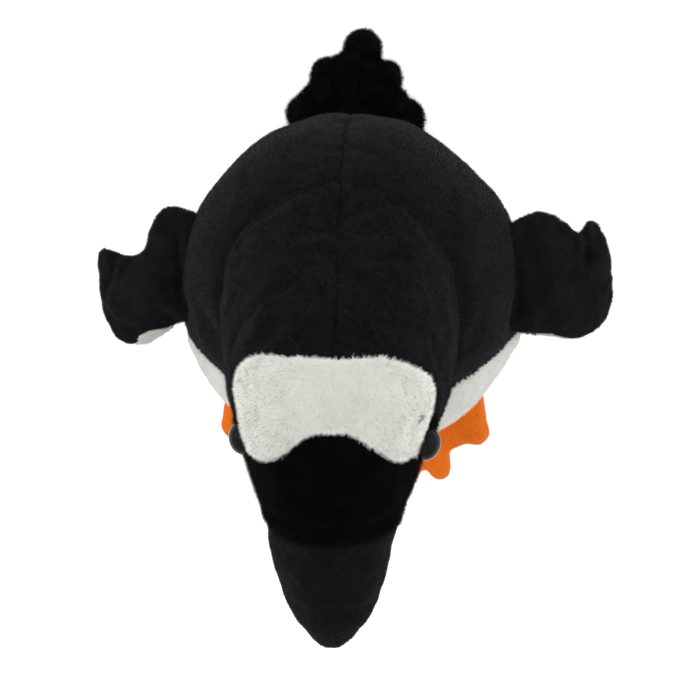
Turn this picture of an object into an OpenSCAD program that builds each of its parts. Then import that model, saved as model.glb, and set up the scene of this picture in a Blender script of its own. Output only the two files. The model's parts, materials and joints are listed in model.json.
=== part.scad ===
// Plush penguin, sitting upright on a flat base.
// Origin at the middle of the base, +Z up, beak towards -Y. Millimetres.

/* [Body] */
// Radius of the round body at its widest
body_r = 104; // [96:1:112]
// Radius of the flat base
base_r = 60; // [50:1:70]
// Thickness of the plush fabric with its pile
pile_t = 3; // [2.5:0.5:4]
// Height of the neck seam above the floor
neck_z = 186; // [180:1:190]

/* [Head] */
// Radius of the skull
skull_r = 53; // [50:1:55]
// Height of the skull centre
skull_z = 226; // [222:1:230]
// Distance of the skull centre in front of the body axis
skull_fwd = 30; // [26:1:34]
// Distance from the skull centre to the beak tip
beak_reach = 164; // [150:1:170]
// Downward tilt of the beak in degrees
beak_tilt = 4; // [2:0.5:6]
// Distance from the skull centre to the root of the beak
beak_root = 84; // [80:1:90]

/* [Eyes] */
// Radius of each eye dome
eye_r = 8.5; // [7:0.5:9]
// Radius of the felt ring behind each eye
ring_r = 10.5; // [9.5:0.5:11]

/* [Flippers] */
// Reach of a flipper from its shoulder line
flip_len = 74; // [64:1:80]
// Droop of a flipper below the horizontal in degrees
flip_droop = 30; // [24:1:34]
// Thickness of a stuffed flipper
flip_t = 14; // [10:1:16]

/* [Feet] */
// Radius of each stuffed toe
toe_r = 10; // [8:0.5:11]

/* [Tail] */
// Radius of each puffy lobe of the tail
lobe_r = 14; // [12:0.5:15]

/* [Hidden] */
$fn = 64;

// Gap left between neighbouring pieces
gap = 0.2;
// Gap left between the head and the body, which turn against each other
turn_gap = 0.5;
// Gap between the body and the roots of the soft limbs
root_gap = 2.5;
// Steps in the curved body profile
profile_steps = 14;
// Half-height of the lower body, which brings it in to the base radius
low_h = body_r / sqrt(1 - pow(base_r / body_r, 2));
// Neck pivot, and the radius of the neck ball that meets the neck seam
neck_r = 64.4;
neck_rim = sqrt(pow(body_r, 2) - pow(neck_z - body_r, 2));
pivot_z = neck_z - sqrt(max(1, pow(neck_r, 2) - pow(neck_rim, 2)));
// How far the skull stays above the round of the body, to leave it room to nod
neck_lift = 11;
// Radii of the snout along the skull axis
face_r = 38;
beak_mid_r = 29;
beak_tip_r = 9;
// Edge of the white belly: distance in front of the axis, and its slope
belly_front = 89;
belly_slope = 0.548;
// Forehead band, measured forwards from the body axis
band_back = 13;
band_front = 52;
band_corner = 74;
band_corner_x = 39;
band_low = 226;
// Front edge of the hood on the cheeks
hood_front = 66;
// Height of the plane between the face and the throat
throat_z = 214;
// Eye position on the skull, and how far its axis points upwards
eye_fwd = 68;
eye_z = 231;
eye_out = 46.5;
eye_up = 8;
eye_yaw = 20;
stem_r = 1.8;
ring_t = 1.2;
washer_r = 8;
washer_t = 1.6;
washer_depth = 9.5;
// Shoulder line of a flipper
shoulder_x = 101.5;
shoulder_y = 11.5;
shoulder_z = 119;
shoulder_turn = 6.7;
flip_fabric_t = 1.8;
// Roots and directions of the feet
heel_x = 52;
heel_fwd = 78;
heel_r = 14;
toe_waist = 0.7;
limb_fabric_t = 2;
toe_ends = [[38, 152], [66, 151], [84, 128]];
// Root, slope, filling and rows of the tail: distance back, height, half-width, lobes
tail_root_y = 84;
tail_root_z = 33;
tail_slope = 14;
tail_pad_r = 9.9;
tail_pad_h = 9;
tail_rows = [[107, 26, 30, 1], [129, 21, 14, 1], [148, 17, 0, 0]];
pouch_r = 44;
pouch_h = 18;

// ---- whole outer shapes ----

// Points of the body outline from the base to the top, shrunk by `inset`
function body_low(inset) = [
  for (i = [0 : profile_steps])
    let (z = body_r * i / profile_steps)
      [body_r * sqrt(1 - pow((body_r - z) / low_h, 2)) - inset, z]
];
function body_high(inset) = [
  for (i = [1 : profile_steps])
    let (a = 90 * i / profile_steps)
      [(body_r - inset) * cos(a), body_r + (body_r - inset) * sin(a)]
];

module body_solid(inset, floor_z) {
  intersection() {
    rotate_extrude($fn = 96)
      polygon(concat([[0, 0]], body_low(inset), body_high(inset)));
    translate([0, 0, floor_z + body_r * 1.5])
      cube([body_r * 3, body_r * 3, body_r * 3], center = true);
  }
}

module neck_ball(r) {
  translate([0, 0, pivot_z])
    sphere(r = r);
}

// Outline of the skull, face and beak along the skull axis
function snout_line(inset) = concat(
  [for (a = [-90 : 7.5 : 22.5]) (skull_r - inset) * [cos(a), sin(a)]],
  [
    [skull_r * 0.89 - inset, beak_root * 0.5],
    [face_r - inset, beak_root],
    [beak_mid_r - inset, beak_root + 38],
    [beak_mid_r * 0.72 - inset, beak_root + 59],
    [beak_tip_r - inset / 2, beak_reach - 5 - inset],
    [0, beak_reach - inset]
  ]
);

function reversed(line) = [for (i = [len(line) - 1 : -1 : 0]) line[i]];

module snout_place() {
  translate([0, -skull_fwd, skull_z])
    rotate([90 + beak_tilt, 0, 0])
      children();
}

module snout_shell() {
  snout_place()
    rotate_extrude()
      polygon(concat(snout_line(0), reversed(snout_line(pile_t))));
}

module snout_solid(inset) {
  snout_place()
    rotate_extrude()
      polygon(snout_line(inset));
}

// Ball around the body that the leaning part of the head stays outside
module body_ball(grow) {
  translate([0, 0, body_r])
    sphere(r = body_r + grow, $fn = 96);
}

// Space in front of a plane across the skull axis, `s` from the skull centre
module ahead_of(s) {
  snout_place()
    translate([-100, -100, s])
      cube([200, 200, 200]);
}

module left_half() {
  translate([gap / 2, -300, -50])
    cube([300, 600, 500]);
}

module right_half() {
  mirror([1, 0, 0])
    left_half();
}

module above(z) {
  translate([-300, -300, z])
    cube([600, 600, 400]);
}

// ---- body ----

// Plan of the white belly, shrunk by `inset`
module belly_region(inset) {
  e = belly_front - belly_slope * 150;
  translate([0, 0, -10])
    linear_extrude(height = 300)
      polygon([
        [0, -belly_front - inset],
        [150, -e - inset],
        [150, -200],
        [-150, -200],
        [-150, -e - inset]
      ]);
}

module body_shell() {
  difference() {
    rotate_extrude($fn = 96)
      polygon(concat(
        body_low(0),
        body_high(0),
        reversed(body_high(pile_t)),
        reversed(body_low(pile_t))
      ));
    neck_ball(neck_r + turn_gap);
    translate([-100, -100, -10])
      cube([200, 200, 10 + pile_t + gap]);
  }
}

module back_panel_left() {
  color("#1b1b20")
    difference() {
      intersection() {
        body_shell();
        left_half();
      }
      belly_region(-gap);
    }
}

module back_panel_right() {
  color("#1b1b20")
    difference() {
      intersection() {
        body_shell();
        right_half();
      }
      belly_region(-gap);
    }
}

module belly_panel() {
  color("#e2e1dc")
    intersection() {
      body_shell();
      belly_region(0);
    }
}

module base_panel() {
  color("#1b1b20")
    cylinder(r = base_r, h = pile_t, $fn = 96);
}

module body_stuffing() {
  color("#f2f0ea")
    difference() {
      body_solid(pile_t + gap, pile_t + gap);
      neck_ball(neck_r + turn_gap);
      translate([0, 0, pile_t])
        cylinder(r = pouch_r + gap, h = pouch_h + 3 * gap);
    }
}

module pellet_pouch() {
  color("#c9c3b4")
    translate([0, 0, pile_t + gap])
      cylinder(r = pouch_r, h = pouch_h);
}

// ---- head ----

module eye_seats() {
  eye_place(1)
    eye_seat();
  eye_place(-1)
    eye_seat();
}

// Plan of the forehead band, grown by `grow`
module band_region(grow) {
  translate([0, 0, band_low - grow])
    linear_extrude(height = 100)
      polygon([
        [-70, -band_back + grow],
        [70, -band_back + grow],
        [70, -band_corner - grow],
        [band_corner_x - 8, -band_corner - grow],
        [8, -band_front - grow],
        [-8, -band_front - grow],
        [-band_corner_x + 8, -band_corner - grow],
        [-70, -band_corner - grow]
      ]);
}

// Space of the hood: behind the band, and behind the throat below it
module hood_region(grow) {
  translate([-100, -50 - grow, 0])
    cube([200, 200, 400]);
  translate([-100, -hood_front - grow, 0])
    cube([200, 200, band_low]);
}

// Fabric of the neck, a ball about the neck pivot that tucks into the body
module neck_fabric() {
  difference() {
    neck_ball(neck_r);
    neck_ball(neck_r - pile_t);
    snout_solid(pile_t);
    translate([-100, -100, 0])
      cube([200, 200, neck_z - 14]);
  }
}

// Fabric of the back of the skull and the cheeks
module skull_fabric() {
  difference() {
    intersection() {
      snout_shell();
      hood_region(0);
    }
    neck_ball(neck_r - pile_t);
    body_ball(neck_lift);
    band_region(gap);
    eye_seats();
  }
}

module hood() {
  neck_fabric();
  skull_fabric();
}

module hood_left() {
  color("#1d1d22")
    intersection() {
      hood();
      left_half();
    }
}

module hood_right() {
  color("#1d1d22")
    intersection() {
      hood();
      right_half();
    }
}

module forehead_band() {
  color("#e6e5df")
    difference() {
      intersection() {
        snout_shell();
        band_region(0);
      }
      eye_seats();
    }
}

// Fabric in front of the hood and behind the beak
module face_area() {
  difference() {
    snout_shell();
    hood_region(gap);
    band_region(gap);
    ahead_of(beak_root);
    body_ball(neck_lift);
    neck_ball(neck_r + gap);
    eye_seats();
  }
}

module face_panel() {
  color("#0c0c0f")
    intersection() {
      face_area();
      above(throat_z);
    }
}

module throat_panel() {
  color("#131317")
    difference() {
      face_area();
      above(throat_z - gap);
    }
}

module beak_fabric() {
  intersection() {
    snout_shell();
    ahead_of(beak_root + gap);
  }
}

// Space above the side seams of the beak
module beak_top(grow) {
  translate([0, -skull_fwd, skull_z])
    rotate([beak_tilt, 0, 0])
      translate([-100, -250, -9 - grow])
        cube([200, 300, 100]);
}

module beak_upper_left() {
  color("#2a2b30")
    intersection() {
      beak_fabric();
      beak_top(0);
      left_half();
    }
}

module beak_upper_right() {
  color("#2a2b30")
    intersection() {
      beak_fabric();
      beak_top(0);
      right_half();
    }
}

module beak_lower() {
  color("#2a2b30")
    difference() {
      beak_fabric();
      beak_top(gap);
    }
}

module head_stuffing() {
  color("#f2f0ea")
    difference() {
      union() {
        difference() {
          snout_solid(pile_t + gap);
          body_ball(neck_lift);
        }
        neck_ball(neck_r - pile_t - gap);
      }
      ahead_of(beak_root);
      eye_place(1)
        washer_space();
      eye_place(-1)
        washer_space();
    }
}

module beak_stuffing() {
  color("#f2f0ea")
    intersection() {
      snout_solid(pile_t + gap);
      ahead_of(beak_root + gap);
    }
}

// ---- eyes ----

// Puts a child at an eye, its +Z pointing out of the head
module eye_place(side) {
  translate([side * eye_out, -eye_fwd, eye_z])
    rotate([0, 0, -side * eye_yaw])
      rotate([0, side * (90 - eye_up), 0])
        children();
}

module eye_seat() {
  cylinder(r = ring_r + 0.5, h = 20);
  translate([0, 0, -10])
    cylinder(r = stem_r + gap, h = 12);
}

module washer_space() {
  translate([0, 0, -16])
    cylinder(r = stem_r + gap, h = 20);
  translate([0, 0, -washer_depth])
    cylinder(r = washer_r + gap, h = washer_t + 2 * gap);
}

module eye() {
  translate([0, 0, ring_t + gap])
    intersection() {
      translate([0, 0, -3])
        sphere(r = eye_r);
      cylinder(r = eye_r, h = eye_r);
    }
  translate([0, 0, -12])
    cylinder(r = stem_r, h = 12.2 + ring_t + gap);
}

module eye_ring() {
  difference() {
    cylinder(r = ring_r, h = ring_t);
    translate([0, 0, -1])
      cylinder(r = stem_r + gap, h = ring_t + 2);
  }
}

module eye_washer() {
  translate([0, 0, gap - washer_depth])
    difference() {
      cylinder(r = washer_r, h = washer_t);
      translate([0, 0, -1])
        cylinder(r = stem_r + gap, h = washer_t + 2);
    }
}

module eye_left() {
  color("#15100d")
    eye_place(1)
      eye();
}

module eye_right() {
  color("#15100d")
    eye_place(-1)
      eye();
}

module eye_ring_left() {
  color("#dcd9d2")
    eye_place(1)
      eye_ring();
}

module eye_ring_right() {
  color("#dcd9d2")
    eye_place(-1)
      eye_ring();
}

module eye_washer_left() {
  color("#e8e8e8")
    eye_place(1)
      eye_washer();
}

module eye_washer_right() {
  color("#e8e8e8")
    eye_place(-1)
      eye_washer();
}

// ---- flippers ----

// One flipper along +X from the shoulder line, flat in the XY plane
module flipper_pad(inset) {
  r = flip_t / 2 - inset;
  hull() {
    translate([3 + 2 * inset, 26 - inset, 0])
      sphere(r = 2.5 - inset * 0.6, $fn = 24);
    translate([3 + 2 * inset, inset - 26, 0])
      sphere(r = 2.5 - inset * 0.6, $fn = 24);
    translate([30, 30, 0])
      sphere(r = r, $fn = 28);
    translate([34, -40, 0])
      sphere(r = r, $fn = 28);
    translate([flip_len - flip_t / 2, 14, 0])
      sphere(r = r, $fn = 28);
    translate([flip_len - flip_t / 2 - 4, -26, 0])
      sphere(r = r, $fn = 28);
  }
}

module flipper_place() {
  translate([shoulder_x, shoulder_y, shoulder_z])
    rotate([0, 0, shoulder_turn])
      rotate([0, flip_droop, 0])
        children();
}

// Space kept clear beside the body at the root of a flipper
module flipper_clearance() {
  translate([0, 0, body_r])
    sphere(r = body_r + root_gap, $fn = 96);
}

module flipper_fabric() {
  difference() {
    flipper_place()
      flipper_pad(0);
    flipper_place()
      flipper_pad(flip_fabric_t);
    flipper_clearance();
  }
}

module flipper_stuffing() {
  difference() {
    flipper_place()
      flipper_pad(flip_fabric_t + 2 * gap);
    flipper_clearance();
  }
}

module flipper_above(z) {
  flipper_place()
    translate([-50, -100, z])
      cube([200, 200, 50]);
}

module flipper_outer() {
  intersection() {
    flipper_fabric();
    flipper_above(gap / 2);
  }
}

module flipper_lining() {
  difference() {
    flipper_fabric();
    flipper_above(-gap / 2);
  }
}

module flipper_left_outer() {
  color("#1b1b20")
    flipper_outer();
}

module flipper_left_lining() {
  color("#e2e1dc")
    flipper_lining();
}

module flipper_left_stuffing() {
  color("#f2f0ea")
    flipper_stuffing();
}

module flipper_right_outer() {
  mirror([1, 0, 0])
    color("#1b1b20")
      flipper_outer();
}

module flipper_right_lining() {
  mirror([1, 0, 0])
    color("#e2e1dc")
      flipper_lining();
}

module flipper_right_stuffing() {
  mirror([1, 0, 0])
    color("#f2f0ea")
      flipper_stuffing();
}

// ---- feet ----

// Cone kept clear beside the body at the roots of the feet
module foot_clearance() {
  cylinder(r1 = base_r + 8, r2 = base_r + 32, h = 2 * toe_r + 2, $fn = 96);
}

// Plan of one toe from the heel to `tip`, with a round end
module toe(tip, r) {
  dx = tip[0] - heel_x;
  dy = tip[1] - heel_fwd;
  translate([heel_x, -heel_fwd])
    rotate(atan2(-dy, dx))
      translate([0, toe_waist - r])
        square([sqrt(dx * dx + dy * dy), 2 * (r - toe_waist)]);
  translate([tip[0], -tip[1]])
    circle(r = r, $fn = 40);
}

module foot_solid(inset) {
  translate([0, 0, inset])
    linear_extrude(height = 2 * (toe_r - inset) - 3) {
      for (tip = toe_ends)
        toe(tip, toe_r - inset);
      translate([heel_x, -heel_fwd])
        circle(r = heel_r - inset);
      polygon([
        [heel_x - 9 + inset, -heel_fwd],
        [toe_ends[0][0] + inset, -toe_ends[0][1] + 16],
        [toe_ends[1][0], -toe_ends[1][1] + 8],
        [toe_ends[2][0] - inset, -toe_ends[2][1] + 14],
        [heel_x + 9 - inset, -heel_fwd]
      ]);
    }
}

module foot_fabric() {
  difference() {
    foot_solid(0);
    foot_solid(limb_fabric_t);
    foot_clearance();
  }
}

module foot_stuffing() {
  difference() {
    foot_solid(limb_fabric_t + gap);
    foot_clearance();
  }
}

module foot_above(z) {
  translate([0, -250, z])
    cube([150, 250, 50]);
}

module foot_top() {
  intersection() {
    foot_fabric();
    foot_above(toe_r * 0.7 + gap);
  }
}

module foot_sole() {
  difference() {
    foot_fabric();
    foot_above(toe_r * 0.7);
  }
}

module foot_left_top() {
  color("#dc691e")
    foot_top();
}

module foot_left_sole() {
  color("#dc691e")
    foot_sole();
}

module foot_left_stuffing() {
  color("#f2f0ea")
    foot_stuffing();
}

module foot_right_top() {
  mirror([1, 0, 0])
    color("#dc691e")
      foot_top();
}

module foot_right_sole() {
  mirror([1, 0, 0])
    color("#dc691e")
      foot_sole();
}

module foot_right_stuffing() {
  mirror([1, 0, 0])
    color("#f2f0ea")
      foot_stuffing();
}

// ---- tail ----

module tail_place() {
  translate([0, tail_root_y, tail_root_z])
    rotate([-tail_slope, 0, 0])
      children();
}

// Space kept clear beside the body at the root of the tail
module tail_clearance() {
  rotate_extrude($fn = 96)
    polygon(concat([[0, 0]], body_low(-root_gap), [[0, body_r]]));
}

// Three rows of puffy lobes on a flat root
module tail_solid(inset) {
  for (row = tail_rows)
    for (i = [-row[3] : row[3]])
      translate([row[2] * i, row[0] - 3 * abs(i), row[1]])
        sphere(r = lobe_r - inset, $fn = 40);
  tail_web(inset);
}

// Flat root that joins the lobes
module tail_web(inset) {
  tail_place()
    translate([0, -8, inset - 5])
      linear_extrude(height = 2 * (5 - inset))
        polygon([
          [inset - 34, 0],
          [34 - inset, 0],
          [34 - inset, 24],
          [12, 62],
          [-12, 62],
          [inset - 34, 24]
        ]);
}

module tail_fabric() {
  difference() {
    tail_solid(0);
    tail_solid(limb_fabric_t);
    tail_clearance();
  }
}

// Space above the side seam of the tail
module tail_above(z) {
  tail_place()
    translate([-100, -60, z])
      cube([200, 200, 60]);
}

module tail_top() {
  color("#17171b")
    intersection() {
      tail_fabric();
      tail_above(gap / 2);
    }
}

module tail_under() {
  color("#17171b")
    difference() {
      tail_fabric();
      tail_above(-gap / 2);
    }
}

// Distance of a row of lobes along the slope of the tail
function tail_along(row) =
  (row[0] - tail_root_y) * cos(tail_slope) - (row[1] - tail_root_z) * sin(tail_slope);

// A flat pad inside the lobes
module tail_stuffing() {
  color("#f2f0ea")
    difference() {
      tail_web(limb_fabric_t + gap);
      tail_clearance();
    }
  color("#f2f0ea")
    difference() {
      tail_place()
        translate([0, 0, -tail_pad_h / 2])
          linear_extrude(height = tail_pad_h)
            for (row = tail_rows)
              for (i = [-row[3] : row[3]])
                translate([row[2] * i, tail_along(row) - 3 * abs(i)])
                  circle(r = tail_pad_r, $fn = 48);
      tail_clearance();
    }
}

back_panel_left();
back_panel_right();
belly_panel();
base_panel();
body_stuffing();
pellet_pouch();
hood_left();
hood_right();
forehead_band();
face_panel();
throat_panel();
beak_upper_left();
beak_upper_right();
beak_lower();
head_stuffing();
beak_stuffing();
eye_left();
eye_right();
eye_ring_left();
eye_ring_right();
eye_washer_left();
eye_washer_right();
flipper_left_outer();
flipper_left_lining();
flipper_left_stuffing();
flipper_right_outer();
flipper_right_lining();
flipper_right_stuffing();
foot_left_top();
foot_left_sole();
foot_left_stuffing();
foot_right_top();
foot_right_sole();
foot_right_stuffing();
tail_top();
tail_under();
tail_stuffing();
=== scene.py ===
"""Plush penguin: sewn, stuffed panels with real pile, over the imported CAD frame."""
import json
import math

import bmesh
import bpy
import numpy as np
from mathutils import Matrix, Vector


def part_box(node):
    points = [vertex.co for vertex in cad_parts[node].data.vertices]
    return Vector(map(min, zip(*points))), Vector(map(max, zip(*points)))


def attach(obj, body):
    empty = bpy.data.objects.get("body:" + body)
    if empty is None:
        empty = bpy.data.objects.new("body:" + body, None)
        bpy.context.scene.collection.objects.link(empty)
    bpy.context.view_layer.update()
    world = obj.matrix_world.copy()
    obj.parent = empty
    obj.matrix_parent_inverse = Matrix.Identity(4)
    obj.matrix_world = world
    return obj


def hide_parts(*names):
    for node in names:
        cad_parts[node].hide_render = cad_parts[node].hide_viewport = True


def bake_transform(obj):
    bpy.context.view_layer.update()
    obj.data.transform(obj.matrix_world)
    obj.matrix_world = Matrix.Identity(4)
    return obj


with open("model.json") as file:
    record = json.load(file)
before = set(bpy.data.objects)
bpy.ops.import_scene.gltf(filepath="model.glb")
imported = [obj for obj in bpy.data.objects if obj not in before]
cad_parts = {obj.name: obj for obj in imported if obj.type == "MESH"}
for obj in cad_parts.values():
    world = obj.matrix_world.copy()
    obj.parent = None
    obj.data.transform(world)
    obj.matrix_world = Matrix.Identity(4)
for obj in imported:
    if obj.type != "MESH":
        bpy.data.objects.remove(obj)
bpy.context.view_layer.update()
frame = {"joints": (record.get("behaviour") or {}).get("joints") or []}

# One design millimetre, from the widest radius of the body in the frame
DESIGN_BODY_R = 104.0
BODY_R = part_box("back_panel_left")[1][0]
MM = BODY_R / DESIGN_BODY_R
BASE_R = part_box("base_panel")[1][0]

# The sewn neck, and the round back of the head over it
NECK_Z = 183 * MM
NECK_R = 67.8 * MM
SKULL = np.array([0, -30, 226]) * MM
SKULL_R = 53 * MM

# The snout runs ahead and a little down. The beak's own cloth starts at its root seam
TILT = math.radians(4)
SNOUT = np.array([0, -math.cos(TILT), -math.sin(TILT)])
BEAK_ROOT = 84 * MM

JOINTS = {j["name"]: j for j in frame["joints"]}
FLIPPER_Z = JOINTS["flipper_left_swing"]["pos_m"][2]
UP = np.array([0.0, 0.0, 1.0])

# A distance that says no seam is near, in metres
FAR = 1.0

# Frames that a stuffed skin has to settle in
SETTLE_FRAMES = 20


# ---- mesh helpers ----

def read(items, what, width, kind=float):
    """One value of every item, as an array with `width` numbers to a row."""
    values = np.empty(len(items) * width, kind)
    items.foreach_get(what, values)
    return values.reshape(-1, width)


def coords(obj):
    return read(obj.data.vertices, "co", 3)


def set_coords(obj, co):
    obj.data.vertices.foreach_set("co", np.asarray(co, float).ravel())
    obj.data.update()


def normals(obj):
    return read(obj.data.vertex_normals, "vector", 3, np.float32).astype(float)


def push_out(obj, amount):
    """Moves each point along the skin's normal by its own amount."""
    set_coords(obj, coords(obj) + normals(obj) * amount[:, None])


def keep_above(obj, height):
    """Flattens whatever is lower than a height."""
    co = coords(obj)
    co[:, 2] = np.maximum(co[:, 2], height)
    set_coords(obj, co)


def linked(name, data):
    """A new object in the scene."""
    obj = bpy.data.objects.new(name, data)
    bpy.context.scene.collection.objects.link(obj)
    return obj


def mesh_object(name, verts, faces):
    mesh = bpy.data.meshes.new(name)
    mesh.from_pydata([tuple(v) for v in verts], [], [tuple(int(i) for i in f) for f in faces])
    mesh.update()
    return linked(name, mesh)


def bmesh_object(name, bm):
    """An object from a bmesh, which is freed."""
    mesh = bpy.data.meshes.new(name)
    bm.to_mesh(mesh)
    bm.free()
    return linked(name, mesh)


def apply_modifiers(obj):
    bpy.context.view_layer.update()
    shown = obj.evaluated_get(bpy.context.evaluated_depsgraph_get())
    mesh = bpy.data.meshes.new_from_object(shown)
    old = obj.data
    obj.modifiers.clear()
    obj.data = mesh
    bpy.data.meshes.remove(old)
    return obj


def turned_points(line, steps):
    """Points round the Z axis, a row of `steps` for each (radius, height) of the line."""
    angles = [2 * math.pi * k / steps for k in range(steps)]
    return [(r * math.cos(a), r * math.sin(a), h) for r, h in line for a in angles]


def row_faces(i, j, steps):
    """Faces all round between rows i and j of turned points."""
    return [
        (i * steps + k, i * steps + (k + 1) % steps, j * steps + (k + 1) % steps, j * steps + k)
        for k in range(steps)
    ]


def turned(name, line, place, steps=64):
    """A closed shape turned from `line` of (radius, height), set by the 4x4 `place`."""
    line = [(r, h) for r, h in line if r > 1e-6]
    verts = turned_points(line, steps)
    faces = [face for i in range(len(line) - 1) for face in row_faces(i, i + 1, steps)]
    verts += [(0, 0, line[0][1]), (0, 0, line[-1][1])]
    low, high = len(verts) - 2, len(verts) - 1
    last = (len(line) - 1) * steps
    faces += [((k + 1) % steps, k, low) for k in range(steps)]
    faces += [(last + k, last + (k + 1) % steps, high) for k in range(steps)]
    obj = mesh_object(name, verts, faces)
    obj.data.transform(place)
    return obj


def ring_turned(name, line, place, steps=64):
    """A ring turned from the closed outline `line` of (radius, height), set by `place`."""
    rows = len(line)
    faces = [face for i in range(rows) for face in row_faces(i, (i + 1) % rows, steps)]
    obj = mesh_object(name, turned_points(line, steps), faces)
    obj.data.transform(place)
    return obj


def ball(name, centre, r):
    angles = np.linspace(-math.pi / 2, math.pi / 2, 25)[1:-1]
    line = [(r * math.cos(a), r * math.sin(a)) for a in angles]
    return turned(name, line, Matrix.Translation(Vector(centre)), 32)


def hulled(name, points):
    """The tightest skin over a cloud of points."""
    bm = bmesh.new()
    for p in points:
        bm.verts.new(tuple(p))
    made = bmesh.ops.convex_hull(bm, input=bm.verts)
    inside = made["geom_interior"] + made["geom_unused"]
    loose = {v for v in inside if isinstance(v, bmesh.types.BMVert)}
    bmesh.ops.delete(bm, geom=list(loose), context="VERTS")
    return bmesh_object(name, bm)


def ball_points(centre, r):
    """Points all over a ball."""
    return [
        np.array(centre) + r * np.array([math.cos(u) * math.cos(v), math.sin(u) * math.cos(v), math.sin(v)])
        for u in np.linspace(0, 2 * math.pi, 48, endpoint=False)
        for v in np.linspace(-math.pi / 2, math.pi / 2, 25)
    ]


def ring_points(centre, r, axis, steps=72):
    turn = Vector(axis).to_track_quat("Z", "Y").to_matrix()
    return [
        np.array(centre) + np.array(turn @ Vector((r * math.cos(a), r * math.sin(a), 0)))
        for a in np.linspace(0, 2 * math.pi, steps, endpoint=False)
    ]


def cone_between(name, a, b, ra, rb):
    a, b = Vector(a), Vector(b)
    turn = (b - a).to_track_quat("Z", "Y").to_matrix().to_4x4()
    return turned(name, [(ra, 0), (rb, (b - a).length)], Matrix.Translation(a) @ turn, 32)


def joined(name, parts):
    """The parts as one object."""
    bm = bmesh.new()
    for p in parts:
        bm.from_mesh(p.data)
        bpy.data.objects.remove(p)
    return bmesh_object(name, bm)


def rounded(obj, voxel, smooth=6):
    """One even skin over everything in obj, with its creases softened."""
    remesh = obj.modifiers.new("Remesh", "REMESH")
    remesh.mode = "VOXEL"
    remesh.voxel_size = voxel
    soft = obj.modifiers.new("Smooth", "SMOOTH")
    soft.iterations = smooth
    soft.factor = 0.5
    return apply_modifiers(obj)


def inflate(obj, pinned, cap, pressure=4.0, slack=-0.02):
    """Stuffs the skin: cloth under pressure, held where `pinned` is 1, moved no further than `cap`."""
    rest = coords(obj)
    group = obj.vertex_groups.new(name="sewn")
    for i, w in enumerate(pinned):
        if w > 0.02:
            group.add([i], float(w), "REPLACE")
    cloth = obj.modifiers.new("Cloth", "CLOTH")
    s = cloth.settings
    s.quality = 6
    s.mass = 0.15
    s.tension_stiffness = s.compression_stiffness = 12
    s.shear_stiffness = 6
    s.bending_stiffness = 0.4
    s.use_pressure = True
    s.uniform_pressure_force = pressure
    s.shrink_min = slack
    s.effector_weights.gravity = 0
    s.vertex_group_mass = "sewn"
    cloth.collision_settings.use_collision = False
    cloth.point_cache.frame_start = 1
    cloth.point_cache.frame_end = SETTLE_FRAMES
    scene = bpy.context.scene
    for f in range(1, SETTLE_FRAMES + 1):
        scene.frame_set(f)
    apply_modifiers(obj)
    obj.vertex_groups.clear()
    moved = coords(obj) - rest
    far = np.linalg.norm(moved, axis=1)
    moved *= np.minimum(1, cap / np.maximum(far, 1e-9))[:, None]
    set_coords(obj, rest + moved)
    scene.frame_set(1)
    return obj


def subdivided(obj):
    sub = obj.modifiers.new("Subdivision", "SUBSURF")
    sub.levels = sub.render_levels = 1
    return apply_modifiers(obj)


def smoothstep(t):
    """0 to 1 as t goes from 0 to 1, level at both ends."""
    return t * t * (3 - 2 * t)


def fade(d, width):
    """1 where d is 0, falling off smoothly over about `width`."""
    return np.exp(-((d / width) ** 2))


def value_noise(co, size, seed):
    """Smooth noise from -1 to 1 with features about `size` across."""
    p = co / size + seed * 17.31
    cell = np.floor(p).astype(np.int64)
    f = smoothstep(p - cell)
    total = np.zeros(len(co))
    for dx in (0, 1):
        for dy in (0, 1):
            for dz in (0, 1):
                c = cell + (dx, dy, dz)
                h = (c[:, 0] * 73856093) ^ (c[:, 1] * 19349663) ^ (c[:, 2] * 83492791)
                h = (h * 2654435761 + seed) & 0xFFFFFFFF
                h = ((h ^ (h >> 15)) * 2246822519) & 0xFFFFFFFF
                v = ((h ^ (h >> 13)) & 0xFFFF) / 32767.5 - 1
                w = (
                    (f[:, 0] if dx else 1 - f[:, 0])
                    * (f[:, 1] if dy else 1 - f[:, 1])
                    * (f[:, 2] if dz else 1 - f[:, 2])
                )
                total += v * w
    return total


def snap(obj, border, reach):
    """Slides the points near a border onto it, so that a panel cut there has a clean edge."""
    co = coords(obj)
    g = border(co)
    step = 0.2 * MM
    grad = np.stack([(border(co + step * e) - border(co - step * e)) / (2 * step) for e in np.eye(3)], 1)
    no = normals(obj)
    grad -= no * np.sum(grad * no, 1)[:, None]
    size2 = np.sum(grad * grad, 1)
    near = (np.abs(g) < reach * np.sqrt(size2)) & (size2 > 0.05)
    co[near] -= (g[near] / size2[near])[:, None] * grad[near]
    set_coords(obj, co)


def sink_seam(obj, distance, depth, width):
    """Pulls the skin in along a seam, as its thread does."""
    push_out(obj, -depth * fade(distance(coords(obj)), width))


def centres(obj):
    return read(obj.data.polygons, "center", 3)


def roll_edges(obj, inward, depth):
    """Turns the rim of a panel in towards its seam."""
    ends = read(obj.data.edges, "vertices", 2, np.int32)
    loops = read(obj.data.loops, "edge_index", 1, np.int32).ravel()
    rim = np.bincount(loops, minlength=len(ends)) == 1
    co = coords(obj)
    verts = np.unique(ends[rim])
    co[verts] -= inward[verts] * depth
    set_coords(obj, co)


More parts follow.
